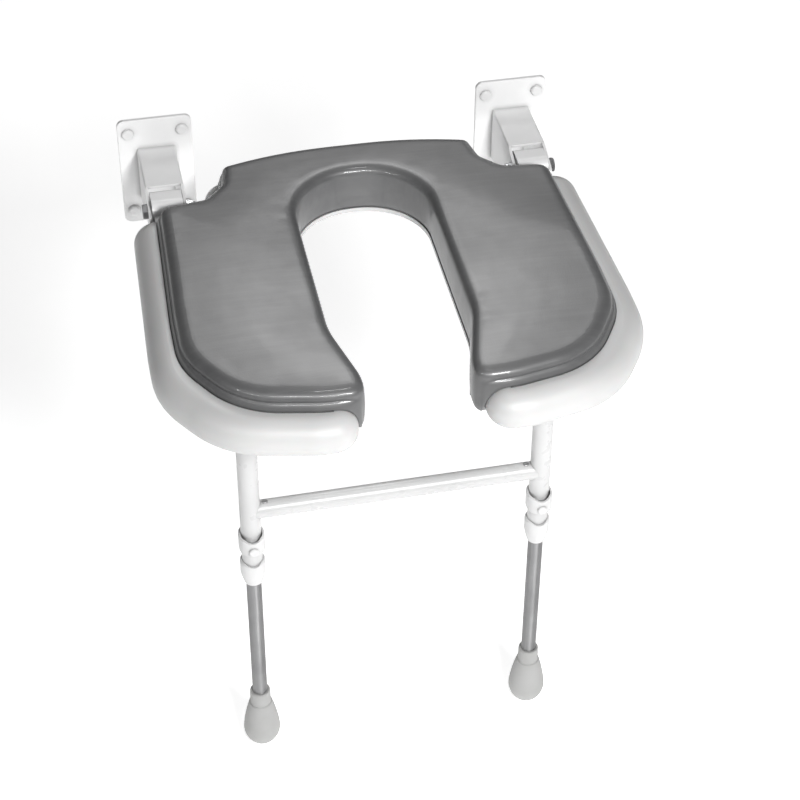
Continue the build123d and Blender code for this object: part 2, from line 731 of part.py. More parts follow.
def lock_ring(side):
    """Ring round the outer leg; a push on its front boss draws the pin at its back."""
    cx = side * LEG_X
    low = LOCK_Z - RING_H / 2
    top = LOCK_Z + RING_H / 2
    ring = stretched(RING_R, cx, LOCK_TRAVEL, low, top)
    ring = fillet(level_edges(ring, top) + level_edges(ring, low), 1.2)
    front = LEG_Y - LOCK_TRAVEL - RING_R
    boss = rod(BOSS_R, (cx, front + 3, LOCK_Z - 3), (cx, front - 2.4, LOCK_Z - 3))
    ring += fillet(boss.edges().sort_by(Axis.Y)[0], 1.6)
    ring -= stretched(OUTER_R + SLIDE_GAP, cx, LOCK_TRAVEL + 0.1, low - 1, top + 1)
    ring -= scoop(cx, top)
    return ring - back_hole(LOCK_PIN_R, cx, LOCK_Z)


def lock_pin(side):
    """Steel pin in the back of the ring, through the outer leg and into the inner one."""
    cx = side * LEG_X
    tip = LEG_Y + INNER_R - INNER_WALL - 0.4
    pin = rod(LOCK_PIN_R, (cx, tip, LOCK_Z), (cx, LEG_Y + RING_R, LOCK_Z))
    return chamfer(pin.edges().sort_by(Axis.Y)[0], 0.5)


def ring_spring(side):
    """Bowed strip between the front of the outer leg and the ring."""
    cx = side * LEG_X
    low = LOCK_Z - SPRING_H / 2
    tube_side = bow(cx, LEG_Y - OUTER_R - SLIDE_GAP, low)
    ring_side = bow(cx, LEG_Y - OUTER_R - SLIDE_GAP - SPRING_T, low)
    ends = Line(tube_side @ 0, ring_side @ 0) + Line(tube_side @ 1, ring_side @ 1)
    return extrude(make_face(tube_side + ring_side + ends), SPRING_H, dir=(0, 0, 1))


def bow(x, y, z):
    """One long edge of the spring; its middle is at (x, y) and its ends bend forwards."""
    end_y = y - SPRING_BOW
    return ThreePointArc((x - SPRING_HALF_W, end_y, z), (x, y, z), (x + SPRING_HALF_W, end_y, z))


# ---- inner leg --------------------------------------------------------------------------


def inner_leg(side):
    cx = side * LEG_X
    tube = pipe(INNER_R, INNER_WALL, (cx, LEG_Y, INNER_LOW_Z), (cx, LEG_Y, INNER_TOP_Z))
    for step in range(-LOCK_HOLES_DOWN, LOCK_HOLES_UP + 1):
        z = LOCK_Z + step * LOCK_PITCH
        tube -= back_hole(LOCK_PIN_R + SLIDE_GAP, cx, z)
    return tube


def glide_bush(side):
    """Cap on the upper end of the inner leg, a sliding fit in the outer one."""
    guide = OUTER_R - OUTER_WALL - SLIDE_GAP
    bore = INNER_R - INNER_WALL
    profile = [
        (0, INNER_TOP_Z + 2),
        (guide - 0.6, INNER_TOP_Z + 2),
        (guide, INNER_TOP_Z + 1.2),
        (guide, INNER_TOP_Z - 12),
        (INNER_R, INNER_TOP_Z - 12),
        (INNER_R, INNER_TOP_Z),
        (bore, INNER_TOP_Z),
        (bore, INNER_TOP_Z - 8),
        (bore - 1.5, INNER_TOP_Z - 8),
        (bore - 1.5, INNER_TOP_Z),
        (0, INNER_TOP_Z),
    ]
    return turned(profile, side * LEG_X, LEG_Y)


def ferrule(side):
    """Rubber foot: a straight neck on the tube, then a bulb with a flat sole."""
    neck_low = FERRULE_TOP_Z - FERRULE_NECK_H
    neck = Polyline(
        (INNER_R, 0, INNER_LOW_Z),
        (INNER_R, 0, FERRULE_TOP_Z),
        (FERRULE_NECK_R - 0.8, 0, FERRULE_TOP_Z),
        (FERRULE_NECK_R, 0, FERRULE_TOP_Z - 1.5),
        (FERRULE_NECK_R + 0.4, 0, neck_low),
        (FERRULE_NECK_R + 1.6, 0, neck_low - 1),
    )
    widest = (FERRULE_R, 0, FLOOR_Z + FERRULE_WIDEST)
    bulb = ThreePointArc(neck @ 1, (FERRULE_R - 2.6, 0, FLOOR_Z + 37), widest)
    toe = ThreePointArc(widest, (FERRULE_R - 1.2, 0, FLOOR_Z + 8), (FERRULE_R - 5.5, 0, FLOOR_Z))
    washer_low = INNER_LOW_Z - WASHER_T
    sole = Polyline(
        toe @ 1, (0, 0, FLOOR_Z), (0, 0, washer_low), (INNER_R, 0, washer_low), neck @ 0
    )
    outline = make_face(neck + bulb + toe + sole)
    return Pos(side * LEG_X, LEG_Y, 0) * revolve(outline, Axis.Z)


def ferrule_washer(side):
    """Steel disc under the end of the tube, so that it doesn't cut through the rubber."""
    cx = side * LEG_X
    return rod(INNER_R, (cx, LEG_Y, INNER_LOW_Z - WASHER_T), (cx, LEG_Y, INNER_LOW_Z))


# ---- build ------------------------------------------------------------------------------

base = seat_base()
arm_screws = []
for name, side in SIDES:
    arm = hinge_arm(side)
    for x, y in arm_screws_at(side):
        screw = screw_up(x, y, ARM_LOW_Z, SEAT_SHELL_Z - SCREW_COVER - ARM_LOW_Z)
        arm -= screw
        base -= screw
        arm_screws.append(screw)
    bracket_screws = []
    for x, y in bracket_screws_at(side):
        screw = screw_up(x, y, SEAT_BOTTOM_Z - BRACKET_T, SCREW_L)
        base -= screw
        bracket_screws.append(screw)
    save(f"{name}_wall_plate", wall_plate(side))
    save(f"{name}_screw_caps", screw_caps(side))
    save(f"{name}_housing", housing(side))
    save(f"{name}_pivot_bolt", pivot_bolt(side))
    save(f"{name}_pivot_nut", pivot_nut(side))
    save(f"{name}_hinge_arm", arm)
    save(f"{name}_pivot_bush", pivot_bush(side))
    save(f"{name}_leg_bracket", leg_bracket(side))
    save(f"{name}_leg_bracket_screws", Compound(bracket_screws))
    save(f"{name}_leg_pin", leg_pin(side))
    save(f"{name}_pin_clip", pin_clip(side))
    save(f"{name}_outer_leg", outer_leg(side))
    save(f"{name}_leg_top_plug", leg_top_plug(side))
    save(f"{name}_end_collar", end_collar(side))
    save(f"{name}_collar_screw", collar_screw(side))
    save(f"{name}_lock_ring", lock_ring(side))
    save(f"{name}_lock_pin", lock_pin(side))
    save(f"{name}_ring_spring", ring_spring(side))
    save(f"{name}_inner_leg", inner_leg(side))
    save(f"{name}_glide_bush", glide_bush(side))
    save(f"{name}_ferrule", ferrule(side))
    save(f"{name}_ferrule_washer", ferrule_washer(side))
base -= stiffener_screws()
save("seat_base", base)
save("seat_pad", seat_pad())
save("arm_screws", Compound(arm_screws))
save("rear_stiffener", rear_stiffener())
save("stiffener_screws", stiffener_screws())
save("crossbar", crossbar())
save("crossbar_rivets", crossbar_rivets())
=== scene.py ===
import json
import math

import bmesh
import bpy
import numpy as np
from mathutils import Matrix, Vector, noise
from mathutils.geometry import delaunay_2d_cdt


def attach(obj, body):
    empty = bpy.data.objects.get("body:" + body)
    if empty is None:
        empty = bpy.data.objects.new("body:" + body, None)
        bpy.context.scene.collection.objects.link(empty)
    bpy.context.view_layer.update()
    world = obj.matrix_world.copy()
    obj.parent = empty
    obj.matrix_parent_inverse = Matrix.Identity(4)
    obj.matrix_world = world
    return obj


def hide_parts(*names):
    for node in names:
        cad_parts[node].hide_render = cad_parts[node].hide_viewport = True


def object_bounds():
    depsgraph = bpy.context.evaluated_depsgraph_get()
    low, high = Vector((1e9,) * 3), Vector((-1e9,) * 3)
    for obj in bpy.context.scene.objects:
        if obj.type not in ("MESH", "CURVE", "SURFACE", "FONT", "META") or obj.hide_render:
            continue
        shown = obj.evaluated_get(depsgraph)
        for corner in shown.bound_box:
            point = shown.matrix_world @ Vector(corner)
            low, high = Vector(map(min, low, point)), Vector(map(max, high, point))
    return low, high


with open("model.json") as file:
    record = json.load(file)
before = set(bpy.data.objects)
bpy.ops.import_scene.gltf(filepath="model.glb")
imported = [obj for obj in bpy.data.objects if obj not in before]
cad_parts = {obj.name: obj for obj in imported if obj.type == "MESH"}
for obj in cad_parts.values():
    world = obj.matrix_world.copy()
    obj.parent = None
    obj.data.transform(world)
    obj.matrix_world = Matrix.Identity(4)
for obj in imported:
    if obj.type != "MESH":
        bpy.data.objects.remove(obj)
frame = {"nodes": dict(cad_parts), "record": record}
cad_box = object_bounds()

# ---- camera -----------------------------------------------------------------------------

AZIMUTH, ELEVATION, ROLL = -13.67, 40.27, 1.43  # degrees
CAMERA_AT = (-0.3284, -1.886, 1.3235)
SENSOR_W, FOCAL_LENGTH = 36.0, 93.9  # mm
SHIFT_X, SHIFT_Y = -0.0558, -0.0586


def camera():
    """A long lens that looks down on the seat from in front of it."""
    a, e, r = (math.radians(v) for v in (AZIMUTH, ELEVATION, ROLL))
    back = Vector((math.sin(a) * math.cos(e), -math.cos(a) * math.cos(e), math.sin(e)))
    level = (-back).cross(Vector((0, 0, 1))).normalized()
    upright = level.cross(-back)
    right = math.cos(r) * level + math.sin(r) * upright
    up = -math.sin(r) * level + math.cos(r) * upright
    data = bpy.data.cameras.new("camera")
    data.sensor_width = SENSOR_W
    data.lens = FOCAL_LENGTH
    data.shift_x, data.shift_y = SHIFT_X, SHIFT_Y
    obj = bpy.data.objects.new("camera", data)
    bpy.context.collection.objects.link(obj)
    place = Matrix((right, up, back)).transposed().to_4x4()
    place.translation = Vector(CAMERA_AT)
    obj.matrix_world = place
    bpy.context.scene.camera = obj


# ---- light and floor --------------------------------------------------------------------

SEAT = (0, -0.3, 0)  # what the key light and the front strip point at
SHEEN_AT, SHEEN_TO = (0.28, 1.3, 1.62), (-0.05, -0.35, 0)
SHEEN_W, SHEEN_H, SHEEN_POWER = 0.9, 0.55, 6.2
SHEEN_SCALES = (0.55, 0.85, 1.15, 1.45)
SKY_STRENGTH = 0.13
FLOOR_HALF_W = 6.0
FLOOR_GAP = 0.0005  # between the feet and the floor
FLOOR_GLOW = 0.76


def softbox(name, at, target, size, power, gloss_only=False):
    """A rectangular light; one that is for gloss only shows in reflections and lights nothing."""
    data = bpy.data.lights.new(name, "AREA")
    data.shape = "RECTANGLE"
    data.size, data.size_y = size
    data.energy = power
    obj = bpy.data.objects.new(name, data)
    obj.visible_diffuse = not gloss_only
    bpy.context.collection.objects.link(obj)
    obj.location = at
    obj.rotation_euler = (Vector(target) - Vector(at)).to_track_quat("-Z", "Y").to_euler()


def lights():
    """One key light, the lights that only make gloss, and an even white surround."""
    softbox("key", (0.42, -2.0, 1.25), SEAT, (0.45, 0.4), 44)
    # Nested panels give the reflection on the vinyl a soft edge.
    for k, scale in enumerate(SHEEN_SCALES):
        size = (SHEEN_W * scale, SHEEN_H * scale)
        softbox(f"sheen_{k}", SHEEN_AT, SHEEN_TO, size, SHEEN_POWER * scale, True)
    softbox("overhead", (0.1, -0.3, 1.6), (0.05, -0.15, 0), (0.35, 0.06), 4, True)
    softbox("front_strip", (-0.35, -1.9, 1.25), SEAT, (1.1, 0.03), 22, True)
    softbox("side_strip", (-1.7, -1.5, 1.3), (-0.15, -0.4, 0), (1.0, 0.02), 12, True)
    world = bpy.data.worlds.new("studio")
    bpy.context.scene.world = world
    world.use_nodes = True
    sky = world.node_tree.nodes["Background"]
    sky.inputs["Color"].default_value = (1, 1, 1, 1)
    sky.inputs["Strength"].default_value = SKY_STRENGTH
    bpy.context.scene.view_settings.view_transform = "Standard"


def floor(z):
    """A pale floor that glows a little, so that it stays white under soft light."""
    mesh = bpy.data.meshes.new("floor")
    w = FLOOR_HALF_W
    mesh.from_pydata([(-w, -w, z), (w, -w, z), (w, w, z), (-w, w, z)], [], [(0, 1, 2, 3)])
    obj = bpy.data.objects.new("floor", mesh)
    bpy.context.collection.objects.link(obj)
    paint = finish("floor_paint", grey(0.93), grey(0.9), roughness=0.7)
    glow = paint.node_tree.nodes["Principled BSDF"].inputs
    glow["Emission Color"].default_value = (1, 1, 1, 1)
    glow["Emission Strength"].default_value = FLOOR_GLOW
    obj.data.materials.append(paint)


# ---- materials --------------------------------------------------------------------------


def grey(value):
    return (value, value, value)


class Nodes:
    """A short way to write a node tree that reads the object's own coordinates."""

    def __init__(self, name):
        self.material = bpy.data.materials.new(name)
        self.material.use_nodes = True
        self.tree = self.material.node_tree
        self.shader = self.tree.nodes["Principled BSDF"]
        self.place = self.add("ShaderNodeTexCoord").outputs["Object"]

    def add(self, kind, **values):
        node = self.tree.nodes.new(kind)
        for key, value in values.items():
            setattr(node, key, value)
        return node

    def join(self, source, target):
        self.tree.links.new(source, target)

    def stretched(self, scale):
        """The object's coordinates, scaled by a different number along each axis."""
        node = self.add("ShaderNodeMapping")
        node.inputs["Scale"].default_value = scale
        self.join(self.place, node.inputs["Vector"])
        return node.outputs["Vector"]

    def noise(self, scale, detail=3.0, stretch=None):
        node = self.add("ShaderNodeTexNoise")
        node.inputs["Scale"].default_value = scale
        node.inputs["Detail"].default_value = detail
        node.inputs["Roughness"].default_value = 0.55
        self.join(self.stretched(stretch) if stretch else self.place, node.inputs["Vector"])
        return node.outputs["Fac"]

    def cells(self, scale):
        node = self.add("ShaderNodeTexVoronoi", feature="F1")
        node.inputs["Scale"].default_value = scale
        self.join(self.place, node.inputs["Vector"])
        return node.outputs["Distance"]

    def span(self, value, low, high, out_low=0.0, out_high=1.0):
        node = self.add("ShaderNodeMapRange")
        self.join(value, node.inputs["Value"])
        limits = {"From Min": low, "From Max": high, "To Min": out_low, "To Max": out_high}
        for key, number in limits.items():
            node.inputs[key].default_value = number
        return node.outputs["Result"]

    def mix(self, factor, a, b):
        """Colour a where the factor is 0 and b where it is 1; a colour is a tuple or a socket."""
        node = self.add("ShaderNodeMix", data_type="RGBA")
        self.join(factor, node.inputs["Factor"])
        for socket, value in ((node.inputs[6], a), (node.inputs[7], b)):
            if isinstance(value, tuple):
                socket.default_value = (*value, 1.0)
            else:
                self.join(value, socket)
        return node.outputs[2]

    def sum(self, a, b, share=0.5):
        """a plus a share of b."""
        node = self.add("ShaderNodeMath", operation="MULTIPLY_ADD")
        self.join(b, node.inputs[0])
        node.inputs[1].default_value = share
        self.join(a, node.inputs[2])
        return node.outputs[0]

    def crevice(self, distance):
        """0 in a tight inside corner and 1 in the open."""
        node = self.add("ShaderNodeAmbientOcclusion", samples=4)
        node.inputs["Distance"].default_value = distance
        return node.outputs["AO"]

    def bump(self, height, strength, distance):
        node = self.add("ShaderNodeBump")
        node.inputs["Strength"].default_value = strength
        node.inputs["Distance"].default_value = distance
        self.join(height, node.inputs["Height"])
        self.join(node.outputs["Normal"], self.shader.inputs["Normal"])

    def set(self, **values):
        for key, value in values.items():
            self.shader.inputs[key.replace("_", " ")].default_value = value


def finish(name, colour, worn, roughness, grain=(900.0, 0.12, 0.0002), crevice=0.0):
    """A finish with drifting colour, uneven gloss, fine relief and painted shade in inside corners.
    """
    n = Nodes(name)
    drift = n.span(n.noise(14.0, 4.0), 0.35, 0.7)
    tint = n.mix(drift, colour, worn)
    if crevice:
        # Painted shade: darker in tight inside corners, found by ambient occlusion.
        corner_shade = n.span(n.crevice(crevice), 0.35, 0.95)
        tint = n.mix(corner_shade, tuple(0.55 * c for c in worn), tint)
    n.join(tint, n.shader.inputs["Base Color"])
    gloss = n.span(n.noise(60.0, 3.0), 0.3, 0.7, roughness - 0.06, roughness + 0.08)
    n.join(gloss, n.shader.inputs["Roughness"])
    scale, strength, depth = grain
    n.bump(n.noise(scale, 2.0), strength, depth)
    return n.material


def vinyl():
    """Smooth grey upholstery vinyl: a fine leather grain, faint cross-wise lines, a clear coat."""
    n = Nodes("grey_vinyl")
    drift = n.span(n.noise(9.0, 3.0), 0.35, 0.68)
    tint = n.mix(drift, (0.090, 0.091, 0.093), (0.120, 0.121, 0.122))
    lines = n.noise(1.0, 3.0, stretch=(14.0, 190.0, 60.0))
    tint = n.mix(n.span(lines, 0.42, 0.75, 0.0, 0.2), tint, (0.18, 0.18, 0.181))
    n.join(tint, n.shader.inputs["Base Color"])
    gloss = n.span(n.noise(45.0, 4.0), 0.3, 0.7, 0.42, 0.5)
    n.join(gloss, n.shader.inputs["Roughness"])
    pebbles = n.cells(1150.0)
    relief = n.sum(pebbles, n.noise(260.0, 3.0), 0.8)
    relief = n.sum(relief, lines, 0.9)
    n.bump(relief, 0.14, 0.0004)
    n.set(IOR=1.55, Coat_Weight=0.35, Coat_Roughness=0.09)
    return n.material


def moulding():
    """White self-skinned foam: a satin skin with pores, and painted shade in its inside corners."""
    n = Nodes("white_moulding")
    drift = n.span(n.noise(6.0, 4.0), 0.3, 0.7)
    tint = n.mix(drift, (0.66, 0.66, 0.657), (0.60, 0.60, 0.597))
    # Painted shade: grey in tight inside corners and seams, found by ambient occlusion.
    painted_corner_shade = n.span(n.crevice(0.012), 0.3, 0.9)
    tint = n.mix(painted_corner_shade, grey(0.30), tint)
    pores = n.span(n.cells(420.0), 0.0, 0.12)
    tint = n.mix(n.span(pores, 0.0, 1.0, 0.75, 1.0), (0.52, 0.52, 0.515), tint)
    n.join(tint, n.shader.inputs["Base Color"])
    n.join(n.span(n.noise(35.0, 3.0), 0.3, 0.7, 0.38, 0.52), n.shader.inputs["Roughness"])
    n.bump(n.sum(n.noise(600.0, 3.0), pores, 0.6), 0.1, 0.0003)
    n.set(Subsurface_Weight=0.05, Subsurface_Scale=0.004)
    return n.material


def drawn_metal(name, colour, worn, roughness, stretch, spread=0.0):
    """Bare metal with a cloudy tone and a fine grain.

    The grain becomes lines along an axis whose number in stretch is lower than the others. A
    spread above 0 draws the highlight out into a line along the object's height.
    """
    n = Nodes(name)
    lines = n.noise(1.0, 4.0, stretch=stretch)
    cloud = n.span(n.noise(30.0, 4.0), 0.35, 0.7)
    tint = n.mix(n.span(lines, 0.3, 0.75), colour, worn)
    tint = n.mix(n.span(cloud, 0.0, 1.0, 0.0, 0.3), tint, tuple(0.6 * c for c in colour))
    n.join(tint, n.shader.inputs["Base Color"])
    n.join(n.span(lines, 0.3, 0.7, roughness - 0.06, roughness + 0.1), n.shader.inputs["Roughness"])
    n.bump(lines, 0.12, 0.0002)
    n.set(Metallic=1.0)
    if spread:
        around = n.add("ShaderNodeTangent", direction_type="RADIAL", axis="Z")
        n.join(around.outputs["Tangent"], n.shader.inputs["Tangent"])
        n.set(Anisotropic=spread, Anisotropic_Rotation=0.25)
    return n.material


def materials():
    """Every finish by its slot's name, and the welt's."""
    return {
        # A crevice distance adds painted shade in the finish's inside corners.
        "white_coated_steel": finish(
            "white_coated_steel", grey(0.88), grey(0.83), 0.36, crevice=0.006
        ),
        "white_coated_tube": finish(
            "white_coated_tube", grey(0.66), grey(0.61), 0.30, crevice=0.004
        ),
        "white_cap_plastic": finish(
            "white_cap_plastic", grey(0.80), grey(0.74), 0.32, crevice=0.003
        ),
        "white_leg_plastic": finish(
            "white_leg_plastic",
            grey(0.74),
            grey(0.68),
            0.35,
            grain=(500.0, 0.15, 0.0002),
            crevice=0.004,
        ),
        "white_moulding": moulding(),
        "grey_vinyl": vinyl(),
        # Near-black, darker than the vinyl: painted shade of the groove where the pad meets the
        # base.
        "welt_painted_shade": finish(
            "welt_painted_shade", (0.035, 0.035, 0.036), grey(0.06), 0.5, grain=(1500.0, 0.4, 0.0003)
        ),
        "dark_fastener": drawn_metal(
            "dark_fastener", (0.16, 0.16, 0.165), grey(0.24), 0.42, (300, 300, 300)
        ),
        "zinc_steel": drawn_metal(
            "zinc_steel", (0.55, 0.56, 0.57), grey(0.68), 0.36, (25, 400, 400)
        ),
        "rivet_metal": drawn_metal(
            "rivet_metal", (0.42, 0.42, 0.43), grey(0.58), 0.34, (300, 300, 300)
        ),
        "nylon": finish("nylon", (0.72, 0.72, 0.70), (0.64, 0.64, 0.61), 0.5),
        "bare_tube": drawn_metal(
            "bare_tube", (0.28, 0.28, 0.285), grey(0.36), 0.42, (500, 500, 12), 0.9
        ),
        "pale_rubber": finish(
            "pale_rubber",
            (0.46, 0.46, 0.455),
            (0.39, 0.39, 0.38),
            0.62,
            grain=(700.0, 0.35, 0.0004),
            crevice=0.006,
        ),
    }


def dress(made):
    """Gives every carried-over CAD node the finish of its own slot."""
    for part in frame["record"]["subparts"]:
        mesh = frame["nodes"][part["node"]].data
        mesh.materials.clear()
        mesh.materials.append(made[part["material_slot"]])


# ---- seat pad ---------------------------------------------------------------------------

# Corners of the pad's outline and of the base's, right-hand half, as (x, y, rounding) in mm.
PAD_CORNERS = [
    (72, -48, 440),
    (134, -64, 9),
    (140, -97, 14),
    (160, -118.5, 9),
    (208, -123.5, 15),
    (215, -300, 300),
    (215, -364, 90),
    (171, -436, 90),
    (92, -451, 120),
    (53, -451, 15),
    (53, -424, 80),
    (71, -352, 120),
    (71, -101, 68),
]
BASE_CORNERS = [
    (75, -44, 500),
    (157, -65, 24),
    (157, -114.5, 8),
    (237, -114.5, 25),
    (245, -320, 200),
    (245, -383, 110),
    (193, -462, 100),
    (104, -480, 60),
    (62, -480, 26),
    (62, -424, 90),
    (80, -352, 120),
    (80, -92, 77),
]
BASE_ROLL = 0.021  # rounding of the base's upper edge
SEAM_Z = 0.022  # the flat of the base, where the pad's outer seam lies
WALL_TOP_Z = 0.031  # where the pad's side turns over into its top
PAD_TOP_Z = 0.040
TOP_ROLL = 0.0125  # width of the roll at the edge of the top
ROLL_POWER = 2.3  # 2 would be a quarter ellipse; more is fuller
CROWN, CROWN_REACH, CROWN_POWER = 0.0006, 0.04, 1.6  # the foam's rise in from the edge
DRIFT, DRIFT_SCALE, DRIFT_SEED = 0.0007, 11, 3.1  # slow unevenness of the top
DRIFT_REACH = 0.02  # how far in from the edge it is at its full height
SIDE_ROWS = (0.05, 0.12, 0.28, 0.46, 0.64, 0.80, 0.91, 0.97, 1.0)  # shares of the way down
BELLY, BELLY_END = 0.0009, 0.92  # how far the side swells, and where that ends
TUCK, TUCK_FROM = 0.0016, 0.9  # how far, and from where, it pulls in above the seam
LINING_LOW_Z = -0.011  # the lining's foot
LINING_T = 0.0085
LINING_SLACK = 0.0003  # for points right at the lining's inner face
LINED = 0.002  # an edge no higher than this above the lining's foot belongs to the lining
LINING_REAR_Y, LINING_TIP_Y = -0.09, -0.44  # bounds of the lined stretch of the outline
LINING_HALF_W, LINING_TIP_W = 0.0725, 0.061
FRONT_TIP_Y, FRONT_TIP_W = -0.425, 0.083  # where the base's tips round down to the opening
UNDER_HALF_W, UNDER_REAR_Y, UNDER_TIP_Y = 0.0795, -0.0915, -0.445  # limits of the lining's foot
ARM_CLEAR_Z = 0.018  # the underside stays above the hinge arms
FLARE = 0.0042  # how far the pad's side leans out towards the base
EASE = 0.0009  # the first row below the top stays this far in
PUFF_CAP = 0.0025  # the most that the simulation may move the cover
PUFF_HELD_Z = 0.033  # below this the cover is held
PUFF_FREE_Z = 0.036  # and above this it moves by all that the simulation gives
PUFF_FRAMES = 20
PUFF_PRESSURE = 4.0
RELAX_ROUNDS = 90
WELT_R, WELT_SIDES = 0.0009, 8
WELT_SUNK = 0.0006  # how far in from the full flare and up from the edge the welt lies
ARC_STEP = 0.001
EDGE = 0.0032  # spacing of points round the outline
TOP_GRID, UNDER_GRID = 0.0045, 0.012  # and of those across the top and the underside
TOP_DEPTHS = np.array((0.5, 1.4, 2.6, 4.2, 6.2, 8.8, 12.0, 15.5)) / 1000  # of the inner rings
UNDER_DEPTHS = np.array((8.5, 9.5)) / 1000
ROW = 0.87  # between two rows of a grid, as a share of its spacing
RING_CLEAR = 0.96  # share of its depth that a ring's point keeps from the whole outline
GRID_CLEAR = 0.6  # between the last ring and the grid, as a share of the grid's spacing
CROWDED = 0.001  # a ring's points nearer to each other than this are thinned out
INNER_TRIANGLES = 1  # tells the triangulation to stay inside the outline


def loop(corners):
    """The closed outline: both halves, with its corners rounded, at an even spacing."""
    half = [(x / 1000, y / 1000, r / 1000) for x, y, r in corners]
    ring = half + [(-x, y, r) for x, y, r in reversed(half)]
    points = []
    for k, (x, y, radius) in enumerate(ring):
        here = np.array((x, y))
        before = here - np.array(ring[k - 1][:2])
        after = np.array(ring[(k + 1) % len(ring)][:2]) - here
        u, v = before / np.linalg.norm(before), after / np.linalg.norm(after)
        turn = math.atan2(u[0] * v[1] - u[1] * v[0], u @ v)
        reach = radius * math.tan(abs(turn) / 2)
        side = np.array((-u[1], u[0])) * math.copysign(1, turn)
        centre = here - u * reach + side * radius
        steps = max(2, int(abs(turn) * radius / ARC_STEP))
        for s in range(steps + 1):
            angle = abs(turn) * s / steps
            points.append(centre + radius * (u * math.sin(angle) - side * math.cos(angle)))
    points = np.array(points + points[:1])
    run = np.concatenate(([0], np.cumsum(np.linalg.norm(np.diff(points, axis=0), axis=1))))
    even = np.linspace(0, run[-1], int(run[-1] / EDGE) + 1)[:-1]
    return np.stack([np.interp(even, run, points[:, i]) for i in (0, 1)], axis=1)


def outward(ring):
    """The outward normal at each point of a closed outline that runs clockwise."""
    along = np.roll(ring, -1, axis=0) - np.roll(ring, 1, axis=0)
    along /= np.linalg.norm(along, axis=1)[:, None]
    return np.stack((-along[:, 1], along[:, 0]), axis=1)


def distance(points, ring):
    """How far each point is from a closed outline."""
    a, b = ring, np.roll(ring, -1, axis=0)
    ab = b - a
    found = []
    for p in np.array_split(points, max(1, len(points) // 1500)):
        ap = p[:, None, :] - a[None]
        t = np.clip((ap * ab).sum(2) / (ab * ab).sum(1), 0, 1)
        found.append(np.linalg.norm(ap - t[..., None] * ab, axis=2).min(1))
    return np.concatenate(found)


def inside(points, ring):
    """Which points lie inside a closed outline."""
    a, b = ring, np.roll(ring, -1, axis=0)
    x, y = points[:, 0][:, None], points[:, 1][:, None]
    crosses = (a[:, 1] > y) != (b[:, 1] > y)
    at = a[:, 0] + (y - a[:, 1]) * (b[:, 0] - a[:, 0]) / (b[:, 1] - a[:, 1] + 1e-12)
    return (crosses & (x < at)).sum(1) % 2 == 1


def thinned(points):
    """Leaves out the points that crowd together where an inner ring rounds a corner."""
    kept = [points[0]]
    for point in points[1:]:
        if np.linalg.norm(point - kept[-1]) > CROWDED:
            kept.append(point)
    return np.array(kept)


def fill(ring, depths, grid):
    """Triangles over an outline: rings of points near its edge, and a staggered grid within.

    A ring's point that comes too near to another stretch of the outline is left out.
    """
    normals = outward(ring)
    parts = [ring]
    for depth in depths:
        moved = ring - normals * depth
        parts.append(thinned(moved[distance(moved, ring) > RING_CLEAR * depth]))
    low, high = ring.min(0), ring.max(0)
    rows = np.arange(low[1], high[1], grid * ROW)
    lattice = [
        (x + (k % 2) * grid / 2, y)
        for k, y in enumerate(rows)
        for x in np.arange(low[0], high[0], grid)
    ]
    lattice = np.array(lattice)
    lattice = lattice[inside(lattice, ring)]
    parts.append(lattice[distance(lattice, ring) > depths[-1] + GRID_CLEAR * grid])
    points = np.concatenate(parts)
    count = len(ring)
    edges = [(k, (k + 1) % count) for k in range(count)]
    flat = [Vector(p) for p in points]
    verts, _, faces, *_ = delaunay_2d_cdt(flat, edges, [], INNER_TRIANGLES, 1e-7)
    return np.array([tuple(v) for v in verts]), [tuple(f) for f in faces], count


def rolled(fall):
    """Height of the base's rounded edge, so far out from where its rounding starts."""
    return SEAM_Z - BASE_ROLL + np.sqrt(BASE_ROLL**2 - np.clip(fall, 0, BASE_ROLL) ** 2)


def base_top(points, base_ring):
    """Height of the base's upper surface, with its rounded edge, at each point."""
    depth = distance(points, base_ring)
    depth = np.where(inside(points, base_ring), depth, 0.0)
    return rolled(BASE_ROLL - depth)


def lower_edge(ring, base_ring):
    """Height of the pad's lower edge: on the base outside, and under the lining inside."""
    x, y = np.abs(ring[:, 0]), ring[:, 1]
    low = np.maximum(base_top(ring, base_ring), ARM_CLEAR_Z)
    front_tip = (y < FRONT_TIP_Y) & (x < FRONT_TIP_W)
    low = np.where(front_tip, rolled(FRONT_TIP_W - x), low)
    inner = (y < LINING_REAR_Y) & (x < LINING_HALF_W)
    inner &= (y > LINING_TIP_Y) | (x < LINING_TIP_W)
    low = np.where(inner, LINING_LOW_Z, low)
    return (np.roll(low, 1) + low * 2 + np.roll(low, -1)) / 4


def crown(points, depth):
    """Height of the pad's top: a full roll at the edge, then a low crown of foam."""
    roll = np.clip(depth / TOP_ROLL, 0, 1)
    rise = (1 - (1 - roll) ** ROLL_POWER) ** (1 / ROLL_POWER)
    top = WALL_TOP_Z + (PAD_TOP_Z - WALL_TOP_Z) * rise
    top += CROWN * (1 - np.exp(-((depth / CROWN_REACH) ** CROWN_POWER)))
    scaled = points * DRIFT_SCALE
    soft = np.array([noise.noise(Vector((x, y, DRIFT_SEED))) for x, y in scaled])
    return top + DRIFT * soft * np.clip(depth / DRIFT_REACH, 0, 1)


